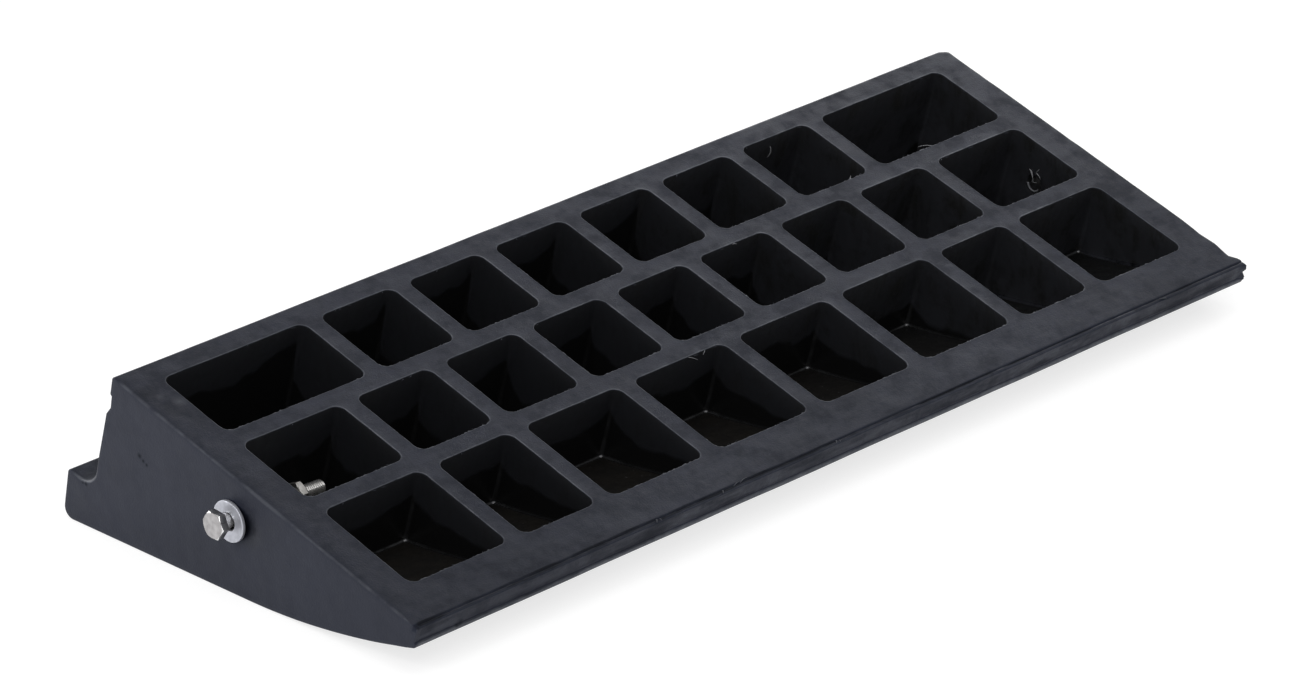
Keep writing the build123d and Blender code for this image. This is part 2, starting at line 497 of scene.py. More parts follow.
def end_face(draft, path, foot, side, hole_numbers):
    """An end face with its rounded edge. It gives the ring where that edge runs into the long faces."""
    outline = path + foot
    directions = outward_directions(outline)
    radii = [path_radius(point) for point in path] + [foot_radius(side, point.x) for point in foot]
    # Worn edges with painted highlights: strongest in the cove, and a painted highlight along the left end's
    # edge with the underside
    shine_and_wear = [0.3 + 1.9 * near_cove(point) for point in path] + [0.8 if side < 0 else 0.1] * len(foot)
    rings = []
    for angle in spread(0, math.pi / 2, 6):
        ring = []
        for point, direction, radius in zip(outline, directions, radii):
            place = point - direction * radius * (1 - math.sin(angle))
            ring.append(Vector((side * (half_length - radius * (1 - math.cos(angle))), place.x, place.y)))
        worn = [math.sin(2 * angle) * share for share in shine_and_wear]
        rings.append(draft.add(ring, worn=worn, even=math.cos(angle)))
    draft.join(rings)
    draft.fill(rings[0], [hole_numbers], fill_step / 2, *upright_plane(side * half_length), even=1.0)
    return rings[-1]


def floor_height(y):
    """Height of the pocket floors, one plate thickness inside the driving face."""
    flat = -ramp_height + (crest.x - y) * drive_slope + plate_thickness / math.cos(drive_angle)
    if y > flat_end.x + plate_thickness * math.sin(drive_angle):
        return flat
    radius = roll_radius - plate_thickness
    return roll_centre.y - math.sqrt(radius * radius - (y - roll_centre.x) ** 2)


def on_floor(place):
    """The point of the pocket floors over a place on the plan."""
    return Vector((place.x, place.y, floor_height(place.y)))


def pocket_row(row_y, depth, widths):
    """Centre, width and depth of each pocket in a row. A width of None takes an equal share of the rest."""
    room = ramp_length - 2 * end_wall - rib * (len(widths) - 1)
    shared = (room - sum(width for width in widths if width)) / widths.count(None)
    row = []
    left = -half_length + end_wall
    for width in widths:
        width = width or shared
        row.append((Vector((left + width / 2, row_y)), width, depth))
        left += width + rib
    return row


def all_pockets():
    """The three rows of pockets, from the back to the toe."""
    return {
        "back": pocket_row(back_row_y, row_depth, [wide_pocket] + [None] * 6 + [wide_pocket]),
        "middle": pocket_row(middle_row_y, row_depth, [bolt_pocket] + [None] * 7 + [bolt_pocket]),
        "toe": pocket_row(toe_row_y, toe_row_depth,
                          [None, toe_square_pocket] + [None] * 4 + [toe_square_pocket, None]),
    }


def pocket_spokes(centre, width, depth):
    """Round a pocket: points of a smaller rectangle, each with the direction out to the wall. A point at a
    corner also has the way to the sharp corner, and any other point has its direction again."""
    half = Vector((width / 2 - pocket_corner, depth / 2 - pocket_corner))
    corners = [(1, -1), (1, 1), (-1, 1), (-1, -1)]
    spokes = []
    for number, corner in enumerate(corners):
        before = corners[number - 1]
        start = centre + Vector((before[0] * half.x, before[1] * half.y))
        end = centre + Vector((corner[0] * half.x, corner[1] * half.y))
        angle = math.radians(90 * (number - 1))
        out = Vector((math.cos(angle), math.sin(angle)))
        step = ragged_step if number in (0, 3) else rim_step
        parts = max(2, round((end - start).length / step))
        spokes += [(start.lerp(end, part), out, out) for part in spread(0, 1, parts)]
        spokes += [(end, turned(out, turn), Vector(corner)) for turn in spread(0, math.pi / 2, 8)[1:-1]]
    return spokes


def wall_place(spoke, radius, outside):
    """The place on a pocket's outline with some corner radius, moved outwards."""
    anchor, out, corner = spoke
    return anchor + corner * (pocket_corner - radius) + out * (radius + outside)


def corner_highlight(spoke):
    """How strong the painted highlight line down a pocket's rounded corner is: most at the back right in the
    toe row.
    """
    anchor, out, corner = spoke
    middle = limited((out.dot(corner.normalized()) - 0.9) / 0.1) if corner.length > 1.2 else 0.0
    in_toe_row = anchor.y < toe_margin + toe_row_depth
    return middle if in_toe_row and corner.x > 0 and corner.y > 0 else 0.4 * middle


def floor_edge_highlight(spoke, back_right):
    """How strong the painted highlight along a floor's edge is: most at the back right corner, with a painted
    glint there, and less along both sides from there.
    """
    anchor, out, _ = spoke
    near = math.exp(-(anchor - back_right).length / (14 * mm))
    return max(0.0, out.y) * (0.25 + 0.75 * near) + 0.5 * max(0.0, out.x) * near + 2.0 * corner_highlight(spoke)


def corner_radius(drop):
    """How round a pocket's corners are at some depth."""
    return pocket_corner - (pocket_corner - deep_corner) * limited(drop / corner_depth)


# Across a pocket's rim: how far outside the wall, how high, its share of the torn flash, and its wear with a
# painted highlight
rim_steps = [
    (1.0 * mm, 0.0, 0.0, 0.0),
    (0.5 * mm, 0.02 * mm, 0.1, 0.3),
    (0.28 * mm, 0.10 * mm, 0.4, 1.4),
    (0.08 * mm, 0.08 * mm, 0.85, 1.5),
    (0.0, -0.10 * mm, 1.0, 1.0),
    (0.0, -rim_drop, 0.9, 0.1),
]


def rim_flash(spoke):
    """How far torn flash stands into a pocket from its rim: little, but ragged on the toe and left sides."""
    out = spoke[1]
    place = wall_place(spoke, pocket_corner, 0).to_3d()
    wander = 0.10 * mm * noise.noise(place / (8 * mm))
    ragged = noise.noise(place / (1.9 * mm) + Vector((5, 1, 2)))
    ragged += 0.5 * noise.noise(place / (0.8 * mm) + Vector((7, 3, 6)))
    patch = noise.noise(place / (26 * mm) + Vector((2, 8, 4)))
    toe_side = 0.8 * max(0.0, -out.y) * max(0.0, 0.6 + patch)
    left_side = 0.7 * max(0.0, -out.x) * max(0.0, 0.1 + patch)
    return wander + flash_reach * (toe_side + left_side + 0.1) * max(0.0, ragged)


def mouth_room(spokes, at_right_end):
    """How far a pocket stands outside its drawn outline: a little on its right and back sides."""
    to_right = 0.0 if at_right_end else mouth_room_right
    return [to_right * max(0.0, out.x) + mouth_room_back * max(0.0, out.y) for _, out, _ in spokes]


def rim_and_wall_rings(draft, spokes, room):
    """A pocket's rings, from the underside over the burr on its rim and down the wall to the fillet."""
    flash = [rim_flash(spoke) for spoke in spokes]
    rings = []
    for step_out, rise, share, shine_and_wear in rim_steps:
        ring = []
        for spoke, bit, outside in zip(spokes, flash, room):
            place = wall_place(spoke, pocket_corner, outside + step_out - share * bit)
            ring.append(Vector((place.x, place.y, rise + 0.2 * share * bit)))
        worn = [shine_and_wear * (0.55 + 0.3 * limited(bit / (0.4 * mm))) for bit in flash]
        rings.append(draft.add(ring, worn=worn))
    levels = [0.01, 0.03, 0.06] + spread(0.06, 1, 8)[1:]
    for level in levels:
        ring = []
        for spoke, bit, outside in zip(spokes, flash, room):
            foot = wall_place(spoke, deep_corner, outside)
            drop = level * (-rim_drop - floor_height(foot.y) - floor_round)
            torn = 0.9 * bit * math.exp(-drop / (0.5 * mm))
            place = wall_place(spoke, corner_radius(drop), outside - torn)
            ring.append(Vector((place.x, place.y, -rim_drop - drop)))
        # A painted highlight line down the deeper part of each corner
        worn = [0.3 * limited(1.5 * level) * corner_highlight(spoke) for spoke in spokes]
        rings.append(draft.add(ring, worn=worn))
    return rings


def floor_rings(draft, spokes, room):
    """The rings of the fillet between a pocket's wall and its floor."""
    corner = max((anchor for anchor, _, _ in spokes), key=lambda anchor: anchor.x + anchor.y)
    rings = []
    for angle in spread(0, math.pi / 2, 4)[1:]:
        inset = floor_round * (1 - math.cos(angle))
        lift = Vector((0, 0, floor_round * (1 - math.sin(angle))))
        ring = []
        for spoke, outside in zip(spokes, room):
            ring.append(on_floor(wall_place(spoke, deep_corner, outside - inset)) + lift)
        worn = [math.sin(2 * angle) * floor_edge_highlight(spoke, corner) for spoke in spokes]
        rings.append(draft.add(ring, pocket_floor=math.sin(angle), worn=worn))
    return rings


def pale_depth(point, centre, width, depth, share):
    """How far down its wall a pocket is pale: to a wavy line that is higher in the back right corner."""
    right = centre.x + width / 2 - point.x
    behind = centre.y + depth / 2 - point.y
    beside = limited(0.5 + (behind - right) / (3 * mm))
    peak = math.exp(-(max(0.0, right) + max(0.0, behind)) / (9 * mm))
    wobble = noise.noise(point / (24 * mm)) + 0.7 * noise.noise(point / (8 * mm))
    level = share + (right_wall_pale - share) * beside - 0.14 * peak + 0.10 * wobble
    level += 0.5 * limited((point.x - deeper_pale_from) / deeper_pale_over)
    return -floor_height(point.y) * level


def pocket(draft, centre, width, depth, pale_share, hole_side=0):
    """One pocket, from its rim to its floor. It gives the rim's ring and, if asked, a bolt hole's ring."""
    first_point = len(draft.points)
    spokes = pocket_spokes(centre, width, depth)
    room = mouth_room(spokes, centre.x + width / 2 > half_length - end_wall - mm)
    rings = rim_and_wall_rings(draft, spokes, room) + floor_rings(draft, spokes, room)
    draft.fill(rings[-1], [], fill_step, lambda p: (p.x, p.y), on_floor, pocket_floor=1.0)
    gap = hole_gap(draft, rings, spokes, hole_side) if hole_side else None
    for level, (row, other) in enumerate(zip(rings, rings[1:])):
        for here in range(len(row)):
            after = (here + 1) % len(row)
            if not (gap and gap[0] <= level < gap[1] and gap[2] <= here < gap[3]):
                draft.faces.append((row[here], row[after], other[after], other[here]))
    mouth = hole_wall(draft, rings, gap, hole_side) if gap else None
    for number in range(first_point, len(draft.points)):
        point = draft.points[number]
        draft.marks["pocket_depth"][number] = -point.z
        pale = pale_depth(point, centre, width, depth, pale_share)
        draft.marks["below_pale"][number] = (-point.z - pale) / mm
    return rings[0], mouth


def hole_gap(draft, rings, spokes, side):
    """First and last level and spoke of the block of wall that a bolt hole goes through."""
    room = hole_radius + 2 * mm
    columns = [here for here, (anchor, out, _) in enumerate(spokes)
               if out.x * side > 0.99 and abs(anchor.y - hole_place.x) < room]
    start, end = columns[0], columns[-1]
    heights = [draft.points[ring[start]].z for ring in rings]
    first = max(level for level, height in enumerate(heights) if height > hole_place.y + room)
    last = min(level for level, height in enumerate(heights) if height < hole_place.y - room)
    return first, last, start, end


def hole_wall(draft, rings, gap, side):
    """The block of pocket wall round a bolt hole. It gives the ring of the hole's mouth."""
    first, last, start, end = gap
    edge = [rings[first][here] for here in range(start, end + 1)]
    edge += [rings[level][end] for level in range(first + 1, last + 1)]
    edge += [rings[last][here] for here in range(end - 1, start - 1, -1)]
    edge += [rings[level][start] for level in range(last - 1, first, -1)]
    wall = side * (half_length - end_wall)
    mouth = hole_ring(draft, wall, hole_radius + hole_rim)
    draft.fill(edge, [mouth], fill_step / 2, *upright_plane(wall))
    return mouth


def hole_ring(draft, x, radius):
    """A ring of points round a bolt hole's axis."""
    ring = []
    for angle in spread(0, 2 * math.pi, 48)[:-1]:
        place = hole_place + Vector((math.cos(angle), math.sin(angle))) * radius
        ring.append(Vector((x, place.x, place.y)))
    # The bolt holes' walls are painted paler, as a painted reflection of the light outside
    return draft.add(ring, pocket_depth=hole_depth, below_pale=5.0, worn=0.5)


def bolt_hole(draft, side, mouth):
    """A bolt hole's wall, from its mouth in the pocket to the end face. It gives the ring in that face."""
    inner = half_length - end_wall
    rings = [mouth]
    for x in spread(inner + hole_rim, half_length - hole_rim, 6):
        rings.append(hole_ring(draft, side * x, hole_radius))
    rings.append(hole_ring(draft, side * half_length, hole_radius + hole_rim))
    draft.join(rings)
    return rings[-1]


def from_left(x, y, z):
    """A point of the moulding, in mm along from its left end, back from its toe and up from its underside."""
    return Vector((x * mm - half_length, y * mm, z * mm))


# Dents and lumps, in mm: centre, reach along each axis, and how far the middle is pushed
dents = [
    (from_left(600, 0, -2.1), (3.4, 2.6, 2.2), (0.9, -2.3, 0.1)),
    (from_left(600, -0.8, -8.3), (3, 2.5, 2), (0.9, -2.0, 0)),
    (from_left(600, 227.5, 0), (6, 5, 5), (-0.9, -0.9, -0.7)),
    (from_left(0, 1.4, -0.4), (3, 2.0, 2), (1.2, 0, -1.0)),
    (from_left(0, 122, -23.0), (8, 14, 15), (1.5, 0, 0)),
]


def uneven(point):
    """A point of the moulding moved a little, because trimmed rubber is never quite flat or straight."""
    moved = toe_wear(point) + chip(point) + torn_right_end(point)
    for centre, reach, push in dents:
        away = Vector([gap / (size * mm) for gap, size in zip(point - centre, reach)]).length_squared
        if away < 1:
            moved += Vector(push) * mm * (1 - away) ** 2
    waves = Vector()
    for width, height in (broad_waves, small_waves):
        waves += noise.noise_vector(point / (width * mm)) * height * mm
    above = limited((lay @ point).z / (4 * mm))
    return point + moved + waves * above


def toe_wear(point):
    """The toe's crease is deeper in places, and its bead comes and goes."""
    if point.y > crease_back + 0.5 * mm or point.z < -toe_height - mm:
        return Vector()
    slow = noise.noise(Vector((point.x / (25 * mm), 4, 0)))
    quick = noise.noise(Vector((point.x / (5 * mm), 9, 0)))
    if point.z > -2 * crease_depth and point.y > 0.2 * mm:
        return Vector((0, 0, point.z * (0.6 * slow + 0.5 * quick) * limited(point.y / mm - 0.2)))
    if point.z < -toe_height + 1.5 * toe_bead_height and point.y < 0:
        above = limited((point.z + toe_height) / toe_bead_height)
        return Vector((0, point.y * (0.4 * slow + 0.5 * quick) * above, 0))
    return Vector()


def along_steps(steps, place):
    """The second number of a list of steps at a place between two of its first numbers, or 0 outside them."""
    for (start, low), (end, high) in zip(steps, steps[1:]):
        if min(start, end) <= place <= max(start, end):
            return low + (high - low) * (place - start) / (end - start)
    return 0.0


def chip(point):
    """A torn bit out of the back edge at the left end."""
    if point.y < underside_depth - 3 * mm:
        return Vector()
    fade = limited(1 - (point.x + half_length) / torn_reach)
    return Vector((0, -along_steps(chip_steps, -point.z / mm) * mm * fade, 0))


def torn_right_end(point):
    """The right end's edge near the toe, which is cut unevenly."""
    fade = limited(1 - (half_length - point.x) / torn_reach) * limited(1 + point.z / (12 * mm))
    return Vector((-along_steps(right_end_steps, point.y / mm) * mm * fade, 0, 0))


def ramp_moulding():
    """The whole rubber moulding."""
    draft = Draft("pocket_depth", "pocket_floor", "below_pale", "worn", "grime", "even")
    rims = []
    hole_rings = {}
    for row, pockets in all_pockets().items():
        for number, (centre, width, depth) in enumerate(pockets):
            at_end = row == "middle" and number in (0, len(pockets) - 1)
            side = math.copysign(1, centre.x) if at_end else 0
            rim, mouth = pocket(draft, centre, width, depth, back_wall_pale[row], side)
            rims.append(rim)
            if mouth:
                hole_rings[side] = bolt_hole(draft, side, mouth)
    outline = ramp_skin(draft, hole_rings)
    draft.fill(outline, rims, fill_step, lambda p: (p.x, p.y), lambda place: place.to_3d())
    draft.points = [uneven(point) for point in draft.points]
    finishes = draft.finish_numbers(("pocket_depth", 0.9 * rim_drop), ("pocket_floor", 0.95))
    return draft.make("ramp_moulding", lay, finishes=finishes)


def sliver(draft, spine, width, thickness, shine_and_wear, upright=Vector((0.2, 0.3, 1))):
    """A thin curl of torn flash along a spine, flat across an upright direction and tapering to its end."""
    rings = []
    for number, here in enumerate(spine):
        along = (spine[min(number + 1, len(spine) - 1)] - spine[max(number - 1, 0)]).normalized()
        across = along.cross(upright).normalized()
        over = along.cross(across)
        left = 1 - number / len(spine)
        wide = across * width / 2 * left ** 0.6
        thick = over * thickness / 2 * left ** 0.6
        rings.append(draft.add([here + wide, here + thick, here - wide, here - thick], worn=shine_and_wear))
    draft.join(rings)
    draft.cap(rings)


def bent(root, tip, bow, parts=6):
    """Points from a root to a tip, bowed sideways by a vector at the middle."""
    return [root.lerp(tip, share) + bow * 4 * share * (1 - share) for share in spread(0, 1, parts)]


# Torn flash that stands out, in mm: root, tip, bow and width
torn_flash = [
    (from_left(450.3, 213.5, -13.5), from_left(448.6, 211.6, -4.4), (0.5, -1.0, 0), 1.1),
    (from_left(526.0, 163.6, -0.6), from_left(516.4, 166.8, 0.1), (0.0, 0.5, 0.5), 0.9),
    (from_left(461.0, 163.6, -0.6), from_left(463.4, 165.6, 0.2), (0.0, 0.2, 0.3), 0.7),
    (from_left(271.0, 92.7, -0.6), from_left(274.6, 88.5, -1.0), (0.1, 0.3, 0.3), 0.4),
    (from_left(282.9, 92.3, -0.5), from_left(280.2, 90.7, -1.0), (0.2, 0.0, 0.2), 0.5),
    (from_left(361.8, 152.8, -0.4), from_left(363.4, 151.4, 0.1), (0.0, 0.0, 0.3), 0.8),
    (from_left(579.8, 136.8, -17.4), from_left(578.4, 132.2, -23.0), (-0.4, -1.0, 1.1), 1.5),
    (from_left(579.6, 132.9, -23.5), from_left(578.6, 129.6, -21.7), (-0.2, 0.0, 0.1), 1.4),
    (from_left(579.8, 130.8, -14.1), from_left(579.0, 131.5, -17.6), (-0.3, 0.3, 0.0), 0.9),
    (from_left(579.8, 131.7, -17.1), from_left(579.0, 127.7, -18.5), (-0.3, 0.0, 0.6), 1.0),
]

# Low flecks of flash in the toe's crease, given the same way
toe_flecks = [
    (from_left(163.0, 3.0, -0.6), from_left(160.6, 0.2, 0.0), (0.0, 0.0, 0.2), 1.0),
    (from_left(164.8, 2.4, -0.6), from_left(164.0, 0.4, -0.1), (0.0, 0.0, 0.2), 0.8),
    (from_left(209.0, 2.8, -0.6), from_left(206.8, 0.2, 0.0), (0.0, 0.0, 0.2), 1.0),
    (from_left(216.4, 2.4, -0.5), from_left(222.0, 3.2, 0.0), (0.0, 0.3, 0.2), 0.7),
    (from_left(221.0, 2.6, -0.4), from_left(226.6, 3.6, 0.1), (0.0, 0.3, 0.2), 0.8),
    (from_left(290.0, 2.8, -0.6), from_left(287.6, 0.3, 0.0), (0.0, 0.0, 0.2), 0.9),
    (from_left(291.6, 2.0, -0.6), from_left(290.6, 0.2, -0.1), (0.0, 0.0, 0.2), 0.6),
    (from_left(537.6, 0.8, -0.5), from_left(533.4, 1.8, 0.0), (0.0, -0.5, 0.3), 1.3),
]


def hole_lip(draft):
    """A lip of flash round the lower side of the empty hole's mouth, in the last pocket."""
    x = half_length - end_wall - hole_lip_stand
    radius = hole_radius - hole_lip_inset
    spine = []
    for angle in spread(math.radians(-15), math.radians(-165), 14):
        place = hole_place + Vector((math.cos(angle), math.sin(angle))) * radius
        spine.append(Vector((x, place.x, place.y)))
    sliver(draft, spine, hole_lip_width, hole_lip_thickness, 2.1, Vector((1, 0, 0)))


def moulding_flash():
    """Curls of torn flash: the listed ones, the empty hole's lip, and short ones along the pockets' rims."""
    draft = Draft("worn", "grime")
    for curls, shine_and_wear in ((torn_flash, 2.5), (toe_flecks, 1.1)):
        for root, tip, bow, width in curls:
            sliver(draft, bent(root, tip, Vector(bow) * mm), width * mm, curl_thickness, shine_and_wear)
    hole_lip(draft)
    chance = random.Random(11)
    for pockets in all_pockets().values():
        for centre, width, depth in pockets:
            for _ in range(rim_curls):
                x = centre.x + chance.uniform(-0.42, 0.42) * width
                side = -1 if chance.random() < 0.75 else 1
                edge = centre.y + side * depth / 2
                length = chance.uniform(0.8, 2.2) * mm
                root = Vector((x, edge + side * 0.3 * mm, -0.5 * mm))
                lean = chance.uniform(0.3, 0.9) * mm
                ahead = chance.choice((-1, 1)) * length
                tip = Vector((x + ahead, edge - side * lean, chance.uniform(-0.4, 0.1) * mm))
                bow = Vector((0, -side * 0.2, 0.2)) * mm
                spine = bent(root, tip, bow, 4)
                sliver(draft, spine, chance.uniform(0.3, 0.6) * mm, rim_curl_thickness, 0.7)
    return draft.make("moulding_flash", lay)


def lathe(draft, profile, closed=False):
    """A shape turned about X. Each step of the profile gives x and radius for an angle."""
    rings = []
    for step in profile:
        ring = []
        for angle in spread(0, 2 * math.pi, lathe_sides)[:-1]:
            x, radius = step(angle)
            ring.append(Vector((x, radius * math.cos(angle), radius * math.sin(angle))))
        rings.append(draft.add(ring, shank=[float(point.x > 0.1 * mm) for point in ring]))
    if closed:
        draft.join(rings + rings[:1])
    else:
        draft.join(rings)
        draft.cap(rings)


def plain(x, radius):
    """A step of a profile that is the same all round."""
    return lambda angle: (x, radius)


def hex_radius(flats, angle):
    """Distance from the middle of a hexagon to its side, with the corners cut by a hair."""
    from_flat = math.fmod(angle, math.pi / 3) - math.pi / 6
    across = flats / 2 / math.cos(from_flat)
    return min(across, flats / 2 / math.cos(math.pi / 6) - hex_bevel)


def hex_edge(flats, face_x, inwards, cut, drop):
    """A step near a hexagon's chamfered end: cut in from its side, and dropped from the face or chamfer."""
    def step(angle):
        reach = hex_radius(flats, angle) - cut
        chamfer = max(0.0, reach - face_share * flats) * math.tan(hex_chamfer)
        return face_x + inwards * (chamfer + drop), reach
    return step


def hex_side(x, flats, cut=0.0):
    """A step on a hexagon's side at one x."""
    return lambda angle: (x, hex_radius(flats, angle) - cut)


def thread(x, start, end):
    """A step of the thread: a groove that winds round, fades in at its start and is cut down at the tip."""
    def step(angle):
        turn = math.fmod(x / thread_pitch - angle / (2 * math.pi) + 100, 1)
        from_groove = abs(turn - 0.5) * 2
        depth = thread_groove * (1 - limited((from_groove - 0.1) / 0.75))
        fade = limited((x - start) / (2 * thread_pitch))
        tip = bolt_radius - limited((x - end + thread_groove) / thread_groove) * thread_groove
        return x, min(bolt_radius - depth * fade, tip)
    return step


def bore_thread(x):
    """A step of the nut's threaded bore."""
    def step(angle):
        wave = math.sin(x / thread_pitch * nut_thread_turn - angle)
        return x, nut_bore + nut_thread_height * (1 + wave) / 2
    return step


def painted_bolt_highlight(point):
    """How much painted highlight the bolt takes at a point: on its face's edge and the upper side of its
    neck.
    """
    if point.x < -head_height / 2 and point.yz.length > face_share * head_flats + 0.01 * mm:
        return 1.0
    if 0.3 * mm < point.x < head_stand:
        up = Vector((0, math.sin(head_turn), math.cos(head_turn)))
        return limited(0.3 + up.dot(point) / bolt_radius)
    return 0.0


def bolt_piece():
    """The hexagon bolt along X, with the underside of its head at x = 0."""
    face = -head_height
    profile = [plain(face, 0.6 * mm), plain(face, 0.25 * head_flats), plain(face, face_share * head_flats)]
    profile += [hex_edge(head_flats, face, 1, face_bevel, 0), hex_edge(head_flats, face, 1, 0, face_bevel)]
    profile += [hex_side(-head_bevel, head_flats), hex_side(0, head_flats, head_bevel)]
    middle = 0.3 * neck_fillet
    profile += [plain(0, bolt_radius + neck_fillet), plain(middle, bolt_radius + middle)]
    start = bolt_length - thread_length
    profile += [plain(x, bolt_radius) for x in spread(neck_fillet, start, 8)]
    parts = round(thread_length / thread_pitch * 8)
    profile += [thread(x, start, bolt_length) for x in spread(start, bolt_length, parts)[1:]]
    profile += [plain(bolt_length, 1.5 * mm)]
    draft = Draft("shank", "painted_highlight")
    lathe(draft, profile)
    draft.marks["painted_highlight"] = [painted_bolt_highlight(point) for point in draft.points]
    place = bolt_place @ Matrix.Translation((head_seat, 0, 0)) @ Matrix.Rotation(head_turn, 4, "X")
    return draft.make("linking_bolt_piece", place, hex_sharp, draft.finish_numbers(("shank", 0.5)))


def nut_piece():
    """The hexagon nut along X from x = 0, with both ends chamfered and a threaded bore."""
    mouth = nut_bore + nut_sink
    face = face_share * nut_flats
    profile = [plain(0, mouth), plain(0, face)]
    profile += [hex_edge(nut_flats, 0, 1, face_bevel, 0), hex_edge(nut_flats, 0, 1, 0, face_bevel)]
    for cut, drop in ((0, face_bevel), (face_bevel, 0)):
        profile.append(hex_edge(nut_flats, nut_height, -1, cut, drop))
    profile += [plain(nut_height, face), plain(nut_height, mouth)]
    profile += [bore_thread(x) for x in spread(nut_height - nut_sink, nut_sink, 20)]
    draft = Draft()
    lathe(draft, profile, closed=True)
    place = bolt_place @ Matrix.Translation((nut_seat, 0, 0)) @ Matrix.Rotation(nut_turn, 4, "X")
    return draft.make("bolt_nut_piece", place, hex_sharp)


def washer_piece():
    """The punched washer, centred on its axis along X: a rounded outer edge and a crisp bore."""
    half = washer_thickness / 2
    mouth = washer_bore + washer_bevel
    flat_rim = washer_radius - washer_round
    profile = [plain(-half + washer_bevel, washer_bore), plain(-half, mouth)]
    profile += [plain(-half, radius) for radius in spread(washer_bore + 0.6 * mm, flat_rim, 6)]
    for angle in spread(0, math.pi / 2, 5)[1:]:
        reach = washer_radius - washer_round * (1 - math.sin(angle))
        profile.append(plain(-half + washer_round * (1 - math.cos(angle)), reach))
    for angle in spread(0, math.pi / 2, 5):
        reach = washer_radius - washer_round * (1 - math.cos(angle))
        profile.append(plain(half - washer_round * (1 - math.sin(angle)), reach))
    profile += [plain(half, radius) for radius in spread(flat_rim, mouth, 6)[1:]]
    profile.append(plain(half - washer_bevel, washer_bore))
    draft = Draft()
    lathe(draft, profile, closed=True)
    across, up = washer_hang
    middle = (hole_mouth.x + washer_x, hole_mouth.y + across, wall_middle.z + washer_rise + up)
    place = Matrix.Translation(middle)
    return draft.make("bolt_washer_piece", place, washer_sharp)


class Nodes:
    """A tree of shader nodes in the making."""

    def __init__(self, tree, places):
        self.tree = tree
        self.place = self.result("ShaderNodeTexCoord", {}, places)

    def feed(self, socket, value):
        """Links a socket to another one, or sets it to a plain value."""
        if isinstance(value, bpy.types.NodeSocket):
            self.tree.links.new(value, socket)
        else:
            socket.default_value = value

    def result(self, kind, inputs, output, **settings):
        """An output of a new node, which gets its settings, and its inputs as links or plain values."""
        node = self.tree.nodes.new(kind)
        for setting, value in settings.items():
            setattr(node, setting, value)
        for name, value in inputs.items():
            self.feed(node.inputs[name], value)
        return node.outputs[output]

    def rise(self, value, low, high, start=0.0, end=1.0):
        """A number that goes from start to end while the value goes from low to high."""
        inputs = {"Value": value, "From Min": low, "From Max": high, "To Min": start, "To Max": end}
        return self.result("ShaderNodeMapRange", inputs, "Result")

    def rays(self, *kinds):
        """1 for rays of light of the kinds that are named, and 0 for others."""
        rays = [self.result("ShaderNodeLightPath", {}, f"Is {kind} Ray") for kind in kinds]
        share = rays[0]
        for ray in rays[1:]:
            share = self.result("ShaderNodeMath", {0: share, 1: ray}, "Value", operation="MAXIMUM")
        return share


class Finish(Nodes):
    """A procedural material in the making."""

    def __init__(self, name):
        self.material = bpy.data.materials.new(name)
        self.material.use_nodes = True
        super().__init__(self.material.node_tree, "Object")

    def set(self, **values):
        """Sets or links inputs of the surface shader. An input's name has _ for each space."""
        shader = self.tree.nodes["Principled BSDF"]
        for name, value in values.items():
            self.feed(shader.inputs[name.replace("_", " ")], value)

    def mark(self, name):
        """A mark that the mesh carries at each point."""
        return self.result("ShaderNodeAttribute", {}, "Fac", attribute_name=name)

    def cloud(self, size, detail=4.0, rough=0.55, stretch=None):
        """Random soft patches about as wide as size, from 0 to 1. A stretch turns them into streaks."""
        place = self.place
        if stretch:
            place = self.result("ShaderNodeMapping", {"Vector": place, "Scale": stretch}, "Vector")
        inputs = {"Vector": place, "Scale": 1 / size, "Detail": detail, "Roughness": rough}
        return self.result("ShaderNodeTexNoise", inputs, "Fac")

    def spot(self, place, radius, strength=1.0):
        """The strength at a place, as from_left takes it, falling to 0 at a radius from it in mm."""
        ends = {0: self.place, 1: lay @ from_left(*place)}
        away = self.result("ShaderNodeVectorMath", ends, "Value", operation="DISTANCE")
        return self.rise(away, 0, radius * mm, strength, 0)

    def times(self, *values):
        """The product of several numbers."""
        product = values[0]
        for value in values[1:]:
            product = self.result("ShaderNodeMath", {0: product, 1: value}, "Value", operation="MULTIPLY")
        return product

    def mix(self, share, first, second, kind="FLOAT"):
        """A number between two others, or with the kind RGBA a colour between two others."""
        inputs = {"Factor": share, "A": first, "B": second}
        return self.result("ShaderNodeMix", inputs, "Result", data_type=kind)

    def layered(self, colour, *layers):
        """A colour (red, green, blue) with others over it, each given after its share."""
        colour = (*colour, 1)
        for share, other in layers:
            colour = self.mix(share, colour, (*other, 1), "RGBA")
        return colour

    def bump(self, height, depth, normal=None):
        """A normal for small unevenness as deep as depth."""
        inputs = {"Height": height, "Distance": depth}
        if normal:
            inputs["Normal"] = normal
        return self.result("ShaderNodeBump", inputs, "Normal")

    def waves(self):
        """A normal for rubber that isn't quite flat."""
        return self.bump(self.cloud(rubber_wave, 2), rubber_wave_depth)


# Unevenness of the rubber that is only shaded
rubber_wave = 22 * mm
rubber_wave_depth = 0.5 * mm
rubber_grain = 1.1 * mm
rubber_grain_depth = 0.10 * mm

# Colours of the rubber's outside
bloom_colour = (0.0088, 0.0100, 0.0190)
stain_colour = (0.0062, 0.0070, 0.0135)
streak_colour = (0.0125, 0.0140, 0.0235)
blotch_colour = (0.0034, 0.0037, 0.0072)
mottle_colour = (0.0050, 0.0055, 0.0088)
scuff_colour = (0.0170, 0.0185, 0.0275)
# Paler worn edges, with painted highlights along some of them
wear_and_highlight_colour = (0.085, 0.089, 0.100)
# Torn flash, and the painted highlight in the coves at the ends
torn_and_highlight_colour = (0.24, 0.24, 0.25)
